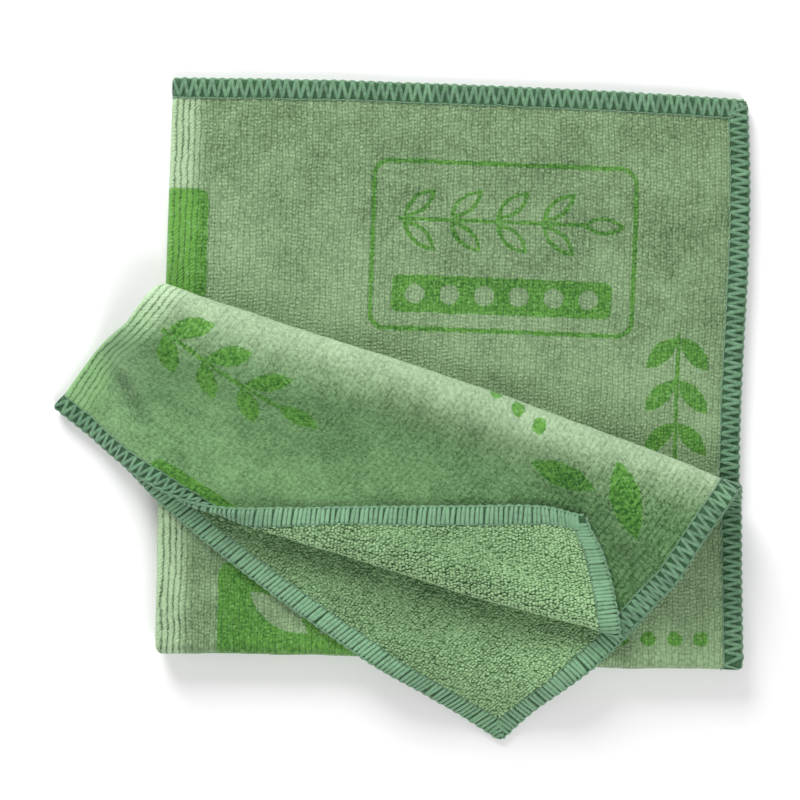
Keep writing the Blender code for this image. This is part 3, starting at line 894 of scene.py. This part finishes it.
def linear(*rgb):
    """8-bit display colour -> linear RGBA."""
    out = []
    for x in rgb:
        x = x / 255.0
        out.append(x / 12.92 if x <= 0.04045 else ((x + 0.055) / 1.055) ** 2.4)
    return (*out, 1.0)


GLOSS, SHEEN_SPREAD = 0.22, 0.45


def material(name, roughness, sheen, tint):
    mat = bpy.data.materials.new(name)
    mat.use_nodes = True
    Field.tree = mat.node_tree
    mat.node_tree.nodes.clear()
    shader = mat.node_tree.nodes.new("ShaderNodeBsdfPrincipled")
    output = mat.node_tree.nodes.new("ShaderNodeOutputMaterial")
    mat.node_tree.links.new(shader.outputs[0], output.inputs["Surface"])
    looks = {"Roughness": roughness, "Specular IOR Level": GLOSS, "Sheen Weight": sheen,
             "Sheen Roughness": SHEEN_SPREAD, "Sheen Tint": tint}
    for name, value in looks.items():
        shader.inputs[name].default_value = value
    return mat, shader


def dress(shader, color, height, depth):
    """Plug the colour and a relief whose depth is in metres."""
    Field.plug(color, shader.inputs["Base Color"])
    Field.plug(made("Bump", {"Strength": 1.0, "Distance": depth, "Height": height}), shader.inputs["Normal"])


WALE, COURSE = 2.05, 1.3  # between ribs and between rows of stitches
FLECK = (0.78, 0.72)  # size of the specks, some of them painted glints of the fibres' sheen
CRUMB = (1.12, 1.02)  # size of the grains where the knit is drawn smooth
EVEN = 0.42  # middle value of the fibre noise and of the knit's height
# stretches over which the look changes, in mm of u, of v or past the start of the roll
OPENED = (6.0, 13.0)  # u: the ribs are open beside the left fold
HEMWARD = (145.0, 175.0)  # u: coarser towards the overlocked edge
TAUT = (-18.0, 6.0)  # past: the knit is drawn smooth by the roll
CREST_HIGHLIGHT = ((-6.0, 4.0), (12.0, 30.0))  # past: painted highlight on the top of the roll
FLAP_SHADE = (16.0, 40.0)  # past: painted shade, a deeper green, on the turned-back part beyond the crest
LIT_BEHIND_ROLL = ((-135.0, -70.0), (-62.0, -60.5))  # past: painted light, a paler base behind the roll
LIT_NEAR_STRIP = (196.0, 204.0)  # v: painted light, a paler strip by the near fold, where the turned-back pair shades the base
STRIP_END, STRIP_IN = (-25.0, -8.0), (20.0, 60.0)  # past and u: its ends at the roll and the left fold
LIT_END = ((330.0, 375.0), (120.0, 160.0))  # v and u: painted light, a lighter end of the turned-back part
SHADED_SIDE = (125.0, 160.0)  # u: painted shade on its darker side


def knit(u, v, past, at):
    """Face of the knit, each about 0 to 1: height, rib, grain, share of opened ribs, fibre, and specks, some
    of them painted glints.
    """
    sway = noise(at, 0.09, 2.0) - 0.5
    tug = noise(at, 0.85, 1.0) - 0.5
    opened = 1.0 - ramp(abs(u), *OPENED)
    taut = ramp(past, *TAUT) * (1.0 - opened)
    x = u / WALE + 0.9 * sway + (0.52 - 0.14 * opened) * tug
    col = x.floor()
    across = x.part() - 0.5
    slant = opened * across * 1.5
    y = v / COURSE + slant + 0.85 * chance(col, 3.0) + 0.60 * (noise(at, 0.7, 1.0) - 0.5)
    along = y.part() - 0.5
    grain = chance(col, y.floor())
    rib = 1.0 - 8.0 * abs(across * across * across)
    bead = 1.0 - 4.0 * along * along
    fibre = noise(at, 1.15, 3.0, 0.7)
    fleck_column = (u / FLECK[0] + 1.6 * tug).floor()
    fleck_and_glint = chance(fleck_column, (v / FLECK[1] + 1.3 * (fibre - 0.5)).floor())
    crumb = cells(vector(u / CRUMB[0] + 0.5 * tug, v / CRUMB[1]), 1.0)
    crumbs = 1.0 - 1.6 * crumb * crumb
    leg = (2.0 * x).part() - 0.5
    dot = (1.0 - 3.2 * (leg * leg + along * along)).held()
    stitch_tone = chance((2.0 * x).floor(), y.floor() + 57.0)
    plain = 0.19 * rib + 0.44 * dot * (0.12 + 1.5 * stitch_tone)
    plain = plain + 1.2 * (fibre - EVEN) + 0.30 * (fleck_and_glint - 0.5)
    hemward = ramp(abs(u), *HEMWARD)
    grit = noise(at, 2.3, 2.0, 0.7)
    drawn = 0.20 + (0.22 + 0.20 * hemward) * rib + 0.16 * crumbs - 0.12 * hemward
    drawn = drawn + 0.5 * (fibre - EVEN) + 0.62 * (fleck_and_glint - 0.5) + (grit - 0.5)
    ribs = 0.76 - 0.95 * (1.0 - rib) * (0.35 + 0.9 * grain) + 0.34 * (bead - 0.5) * (0.4 + grain)
    ribs = ribs + 0.95 * (fibre - EVEN) + 0.30 * (fleck_and_glint - 0.5)
    flat_part = plain + 0.9 * taut * (drawn - plain)
    height = flat_part + opened * (ribs - flat_part)
    return height, rib, grain, opened, fibre, fleck_and_glint


def rounded_tile(u, v, cu, cv, wide, high, radius):
    """Signed distance (mm) to a tile with rounded corners, below 0 inside."""
    x = abs(u - cu) - (wide / 2 - radius)
    y = abs(v - cv) - (high / 2 - radius)
    xo, yo = x.most(0.0), y.most(0.0)
    return (xo * xo + yo * yo).root() + x.most(y).least(0.0) - radius


def turned(u, v, cu, cv, degrees):
    """Place in the axes of a motif that is centred on cu, cv and turned."""
    c, s = math.cos(math.radians(degrees)), math.sin(math.radians(degrees))
    x, y = u - cu, v - cv
    return x * c + y * s, y * c - x * s


def leaf(x, y, length, width):
    """Signed distance to a leaf along x, centred, pointed at both ends."""
    radius = (length * length + width * width) / (4.0 * width)
    back = radius - width / 2.0
    y = abs(y) + back
    return (x * x + y * y).root() - radius


def sprig(x, y, pairs, step, size):
    """A straight stem along x from 0 with pairs of leaves and one leaf at its end."""
    length = pairs * step
    stem = abs(y).most(abs(x - length / 2.0) - length / 2.0) - 0.7
    i = (x / step).floor().most(0.0).least(pairs - 1.0)
    inside = x - (i + 0.42) * step
    c, s = math.cos(math.radians(42)), math.sin(math.radians(42))
    yy = abs(y) - size * 0.38
    blades = leaf(inside * c + yy * s, yy * c - inside * s, size, size * 0.42)
    return stem.least(blades).least(leaf(x - length - size * 0.42, y, size, size * 0.42))


def dots(x, y, step, many, radius):
    """A row of dots along x, from 0."""
    i = (x / step + 0.5).floor().most(0.0).least(many - 1.0)
    dx = x - i * step
    return (dx * dx + y * y).root() - radius


def printed(u, v):
    """Signed distance to the printed design: leaf, dot and tile motifs."""
    found = None

    def put(shape):
        nonlocal found
        found = shape if found is None else found.least(shape)

    def at(cu, cv, degrees):
        return turned(u, v, cu, cv, degrees)

    def tile(*sizes):
        return rounded_tile(u, v, *sizes)

    def outline(shape, stroke=1.4):
        put(abs(shape + stroke / 2) - stroke / 2)

    # tile in outline with a sprig and a dotted band
    outline(tile(116, 56, 92, 60, 6.0), 1.6)
    band = tile(116, 73, 76, 13, 2.5)
    put(band.most(-1.0 * dots(*at(86, 73, 0), 12.0, 6.0, 3.4)))
    outline(sprig(*at(80, 47, 0), 4, 16.0, 15.0))
    # solid tile round the left fold, with a leaf left open
    solid = tile(-8, 58, 44, 40, 4.0)
    put(solid.most(-1.0 * leaf(*at(-16, 58, 60), 24.0, 9.0)))
    # upright sprig by the right edge
    put(sprig(*at(178, 84, 90), 3, 15.0, 15.0))
    # on the turned-back half
    put(sprig(*at(12, 344, 0), 3, 16.0, 16.0))
    put(leaf(*at(172, 298, 40), 26.0, 10.0))
    put(leaf(*at(150, 304, -15), 24.0, 9.0))
    put(dots(*at(116, 296, 0), 9.0, 3.0, 2.4))
    put(tile(66, 402, 52, 26, 4.0))
    # on the half of the cloth below
    solid = tile(-54, 214, 66, 36, 5.0)
    solid = solid.most(-1.0 * leaf(*at(-42, 214, 35), 24.0, 9.0))
    put(solid.most(-1.0 * leaf(*at(-66, 214, -35), 24.0, 9.0)))
    put(dots(*at(-186, 210, 0), 9.0, 6.0, 2.6))
    outline(tile(-112, 70, 100, 62, 6.0), 1.6)
    put(sprig(*at(-152, 70, 0), 4, 17.0, 16.0))
    put(sprig(*at(-30, 262, 90), 5, 16.0, 16.0))
    outline(tile(-120, 330, 96, 60, 6.0), 1.6)
    outline(leaf(*at(-120, 330, 35), 52.0, 20.0))
    return found


GROUND_DEEP = linear(54, 82, 44)
GROUND_LIGHT = linear(153, 183, 138)
FLAP_SHADE_DEEP = linear(42, 82, 36)  # painted shade on the turned-back part
FLAP_SHADE_LIGHT = linear(130, 172, 118)
PALE_AND_HIGHLIGHT = linear(188, 216, 176)  # painted highlight over the crest of the roll, and the paler knit where it opens
INK_DEEP = linear(30, 84, 20)
INK_LIGHT = linear(100, 160, 64)
THREAD_DEEP = linear(28, 68, 42)
THREAD_LIGHT = linear(132, 179, 139)
SHADED_SEAM = linear(54, 96, 62)  # cloth pressed under the stitches, painted darker for the shade between the threads
PILE_DEEP = linear(66, 104, 58)
PILE_LIGHT = linear(160, 198, 146)


# painted shadow in the crease at the roll's left end: its ends, looked up in the flat cloth
CREASE_SHADOW_ENDS = [find_on_pair(plan_mm(119, 360)), find_on_pair(plan_mm(145, 414))]
CREASE_SHADOW_AT = tuple((0.5 * (CREASE_SHADOW_ENDS[0] + CREASE_SHADOW_ENDS[1]) + np.array([R_SIDE * (math.pi / 2 - 1.0), 0.0])).tolist())
CREASE_SHADOW_TURN = math.degrees(math.atan2(*(CREASE_SHADOW_ENDS[1] - CREASE_SHADOW_ENDS[0])[::-1]))
CREASE_SHADOW_SIZE = (170.0, 11.0)  # squares of its half length and half width


# painted shade: where the cloth shows between the threads it takes the dark seam colour
def stitch_shade(u, v):
    edge = (HALF - abs(u)).least(v).least(SIDE - v)
    return 1.0 - ramp(edge, REACH - 0.35, REACH + 0.15)


def face_shade(u, v, at, past, height, rib, opened):
    """How light the ground of the face is, with its painted light and shade, and the shares of the crest's
    painted highlight and of the turned-back part's painted shade.
    """
    cloudy = noise(at, 0.055, 3.0, 0.55) - 0.5
    patchy = noise(at, 0.17, 2.0, 0.5) - 0.5
    # painted shade: the ground is darker where the knit is low, in its grooves and between its stitches, and
    # lighter on its tops
    shade = 0.50 + 0.74 * (height - EVEN) + 0.66 * cloudy + 0.30 * patchy
    # painted light on the strip by the near fold and on the base behind the roll, then painted light and
    # shade on the open ribs by the left fold
    near = ramp(v, *LIT_NEAR_STRIP) * (1.0 - ramp(past, *STRIP_END)) * ramp(abs(u), *STRIP_IN)
    shade = shade + 0.17 * near + 0.19 * between(past, *LIT_BEHIND_ROLL) + 0.25 * opened * (rib - 0.6)
    # painted shadow in the crease at the roll's left end
    x, y = turned(u, v, *CREASE_SHADOW_AT, CREASE_SHADOW_TURN)
    off = (x * x / CREASE_SHADOW_SIZE[0] + y * y / CREASE_SHADOW_SIZE[1]).root()
    shade = shade - 0.34 * (1.0 - ramp(off, 0.0, 1.9))
    # painted highlight: on the crest of the roll the ground is drawn towards a light shade
    crest = between(past, *CREST_HIGHLIGHT)
    shade = shade + 0.42 * crest * (0.70 - shade)
    # painted shade: the turned-back part is deeper green, lighter at its end and darker at its side
    flap_shade = ramp(past, *FLAP_SHADE)
    lower = ramp(v, *LIT_END[0]) * (1.0 - ramp(u, *LIT_END[1]))
    shade = shade + flap_shade * (0.16 * lower - 0.08 - 0.22 * ramp(u, *SHADED_SIDE))
    return shade.held(), crest, flap_shade


def face_material():
    mat, shader = material("printed_face", 0.92, 0.35, (0.88, 1.0, 0.84, 1.0))
    u, v, _ = attribute("flat_cloth")
    at = vector(u, v)
    past = scalar("past_roll")
    height, rib, grain, opened, fibre, fleck_and_glint = knit(u, v, past, at)
    shade, crest, flap_shade = face_shade(u, v, at, past, height, rib, opened)
    # painted highlight on the crest; the opened ribs by the left fold are paler, partly in themselves and
    # partly as painted light
    pale_and_painted_light = crest.most(0.55 * opened)
    light = blend(blend(GROUND_LIGHT, PALE_AND_HIGHLIGHT, pale_and_painted_light), FLAP_SHADE_LIGHT, flap_shade)
    ground = blend(blend(GROUND_DEEP, FLAP_SHADE_DEEP, flap_shade), light, shade)
    # the ink follows the ground's painted light and shade and takes the crest's painted highlight
    inky = 0.94 * shade + 0.16 * (height - EVEN) + 0.24 * (fleck_and_glint - 0.5) + 0.10 * opened + 0.16 * pale_and_painted_light
    ink = blend(INK_DEEP, INK_LIGHT, inky.held())
    ragged = (noise(at, 1.1, 2.0) - 0.5) * 0.8 + (grain - 0.5) * 0.45
    inked = 1.0 - ramp(printed(u, v) + ragged, -0.25, 0.25)
    wear = 0.97 - 0.34 * ramp(fibre, 0.58, 0.78) - 0.22 * ramp(fleck_and_glint, 0.88, 0.96)
    color = blend(blend(ground, ink, inked * wear), SHADED_SEAM, stitch_shade(u, v))
    dress(shader, color, height - 0.5 * ramp(past, *TAUT) * height, 0.0005)
    return mat


def reverse_material():
    mat, shader = material("looped_reverse", 0.95, 0.3, (0.9, 1.0, 0.82, 1.0))
    u, v, _ = attribute("flat_cloth")
    at = vector(u, v)
    sway = noise(at, 0.35, 2.0) - 0.5
    near = cells(vector(u / 1.58 + 0.5 * sway, v / 1.36), 0.85)
    loop = (1.0 - near * near * 2.2).held()
    fibre = noise(at, 1.8, 2.0, 0.6)
    height = loop + 0.5 * (fibre - 0.5)
    # painted shade: darker between the loops, lighter on them
    shade = (-0.05 + 0.75 * height).held()
    color = blend(PILE_DEEP, PILE_LIGHT, shade)
    dress(shader, blend(color, SHADED_SEAM, stitch_shade(u, v)), height, 0.0006)
    return mat


def pile_material():
    mat, shader = material("pile_loops", 0.95, 0.35, (0.92, 1.0, 0.84, 1.0))
    pale_and_painted_light, tone, level = attribute("loop")
    fibre = noise(object_place(), 1500.0, 2.0, 0.6)
    # painted shade: each loop is darker towards its foot, and its painted light is added
    shade = (0.29 + 0.38 * level + 0.36 * (tone - 0.5) + 1.2 * (fibre - 0.5) + pale_and_painted_light).held()
    dress(shader, blend(PILE_DEEP, PILE_LIGHT, shade), fibre, 0.0005)
    return mat


def rim_material():
    mat, shader = material("cut_edge", 0.95, 0.2, (0.9, 1.0, 0.9, 1.0))
    u, v, _ = attribute("flat_cloth")
    fibre = noise(vector(u, v), 1.4, 3.0, 0.6)
    dress(shader, blend(THREAD_DEEP, SHADED_SEAM, fibre), fibre, 0.0003)
    return mat


def thread_material():
    mat, shader = material("overlock_thread", 0.85, 0.4, (0.85, 1.0, 0.92, 1.0))
    run, angle, tone = attribute("strand")
    twist = vector(run * 0.30 + tone * 40.0, (angle + run * 0.25).sin() * 3.0, angle.cos() * 3.0)
    hairs = noise(twist, 1.6, 3.0, 0.7)
    patches = noise(vector(run * 0.8, tone * 31.0), 1.0, 2.0)
    # painted light and shade: each strand is lighter along its top and darker at its sides
    crown = abs(angle.sin())
    painted_round_light = crown * crown
    shade = (-0.05 + 0.46 * painted_round_light + 1.35 * (hairs - 0.38) + 0.70 * (patches - 0.4) + 0.22 * tone).held()
    dress(shader, blend(THREAD_DEEP, THREAD_LIGHT, shade), hairs, 0.00035)
    return mat


for look in (face_material(), reverse_material(), rim_material()):
    cloth.data.materials.append(look)
thread = thread_material()
for piece in stitched:
    piece.data.materials.append(thread)
nubs = pile_material()
for piece in piled:
    piece.data.materials.append(nubs)


# ---------------- floor, light, camera
FLOOR_HALF, FLOOR_LEVEL = 9.0, -0.0002  # metres
FLOOR_DEEP, FLOOR_LIGHT = (0.89, 0.89, 0.89, 1), (0.91, 0.91, 0.91, 1)
LAMPS = (("key", 20.0, (-0.40, 1.06, 0.58), 0.8), ("fill", 11.0, (0.30, -0.90, 1.0), 1.0))  # W, m, m
SKY = 0.40
PIXELS = 800  # side of the picture
LENS, SENSOR = 100.0, 36.0
SCALE_LEVEL = 0.005  # metres above the floor, where one pixel is PX


def floor():
    mesh = bpy.data.meshes.new("floor")
    r, z = FLOOR_HALF, FLOOR_LEVEL
    mesh.from_pydata([(-r, -r, z), (r, -r, z), (r, r, z), (-r, r, z)], [], [(0, 1, 2, 3)])
    ob = linked("floor", mesh)
    mat, shader = material("pale_floor", 0.9, 0.0, (1, 1, 1, 1))
    soft = noise(object_place(), 6.0, 2.0)
    Field.plug(blend(FLOOR_DEEP, FLOOR_LIGHT, soft), shader.inputs["Base Color"])
    mesh.materials.append(mat)


def lamp(name, energy, place, size):
    """A round area lamp that shines on the middle of the cloth."""
    data = bpy.data.lights.new(name, "AREA")
    data.energy, data.shape, data.size = energy, "DISK", size
    ob = linked(name, data)
    ob.location = place
    ob.rotation_euler = (-Vector(place)).to_track_quat("-Z", "Y").to_euler()


floor()
for name, energy, place, size in LAMPS:
    lamp(name, energy, place, size)
world = bpy.data.worlds.new("studio")
bpy.context.scene.world = world
world.use_nodes = True
sky = world.node_tree.nodes["Background"].inputs
sky["Color"].default_value = (1, 1, 1, 1)
sky["Strength"].default_value = SKY

view = bpy.data.cameras.new("camera")
view.lens, view.sensor_width = LENS, SENSOR
camera = linked("camera", view)
bpy.context.scene.camera = camera
picture = (plan_mm(PIXELS / 2, PIXELS / 2) - SHIFT[:2]) * MM
camera.location = (*picture, PIXELS * PX * MM * LENS / SENSOR + SCALE_LEVEL)
bpy.context.scene.view_settings.view_transform = "Standard"
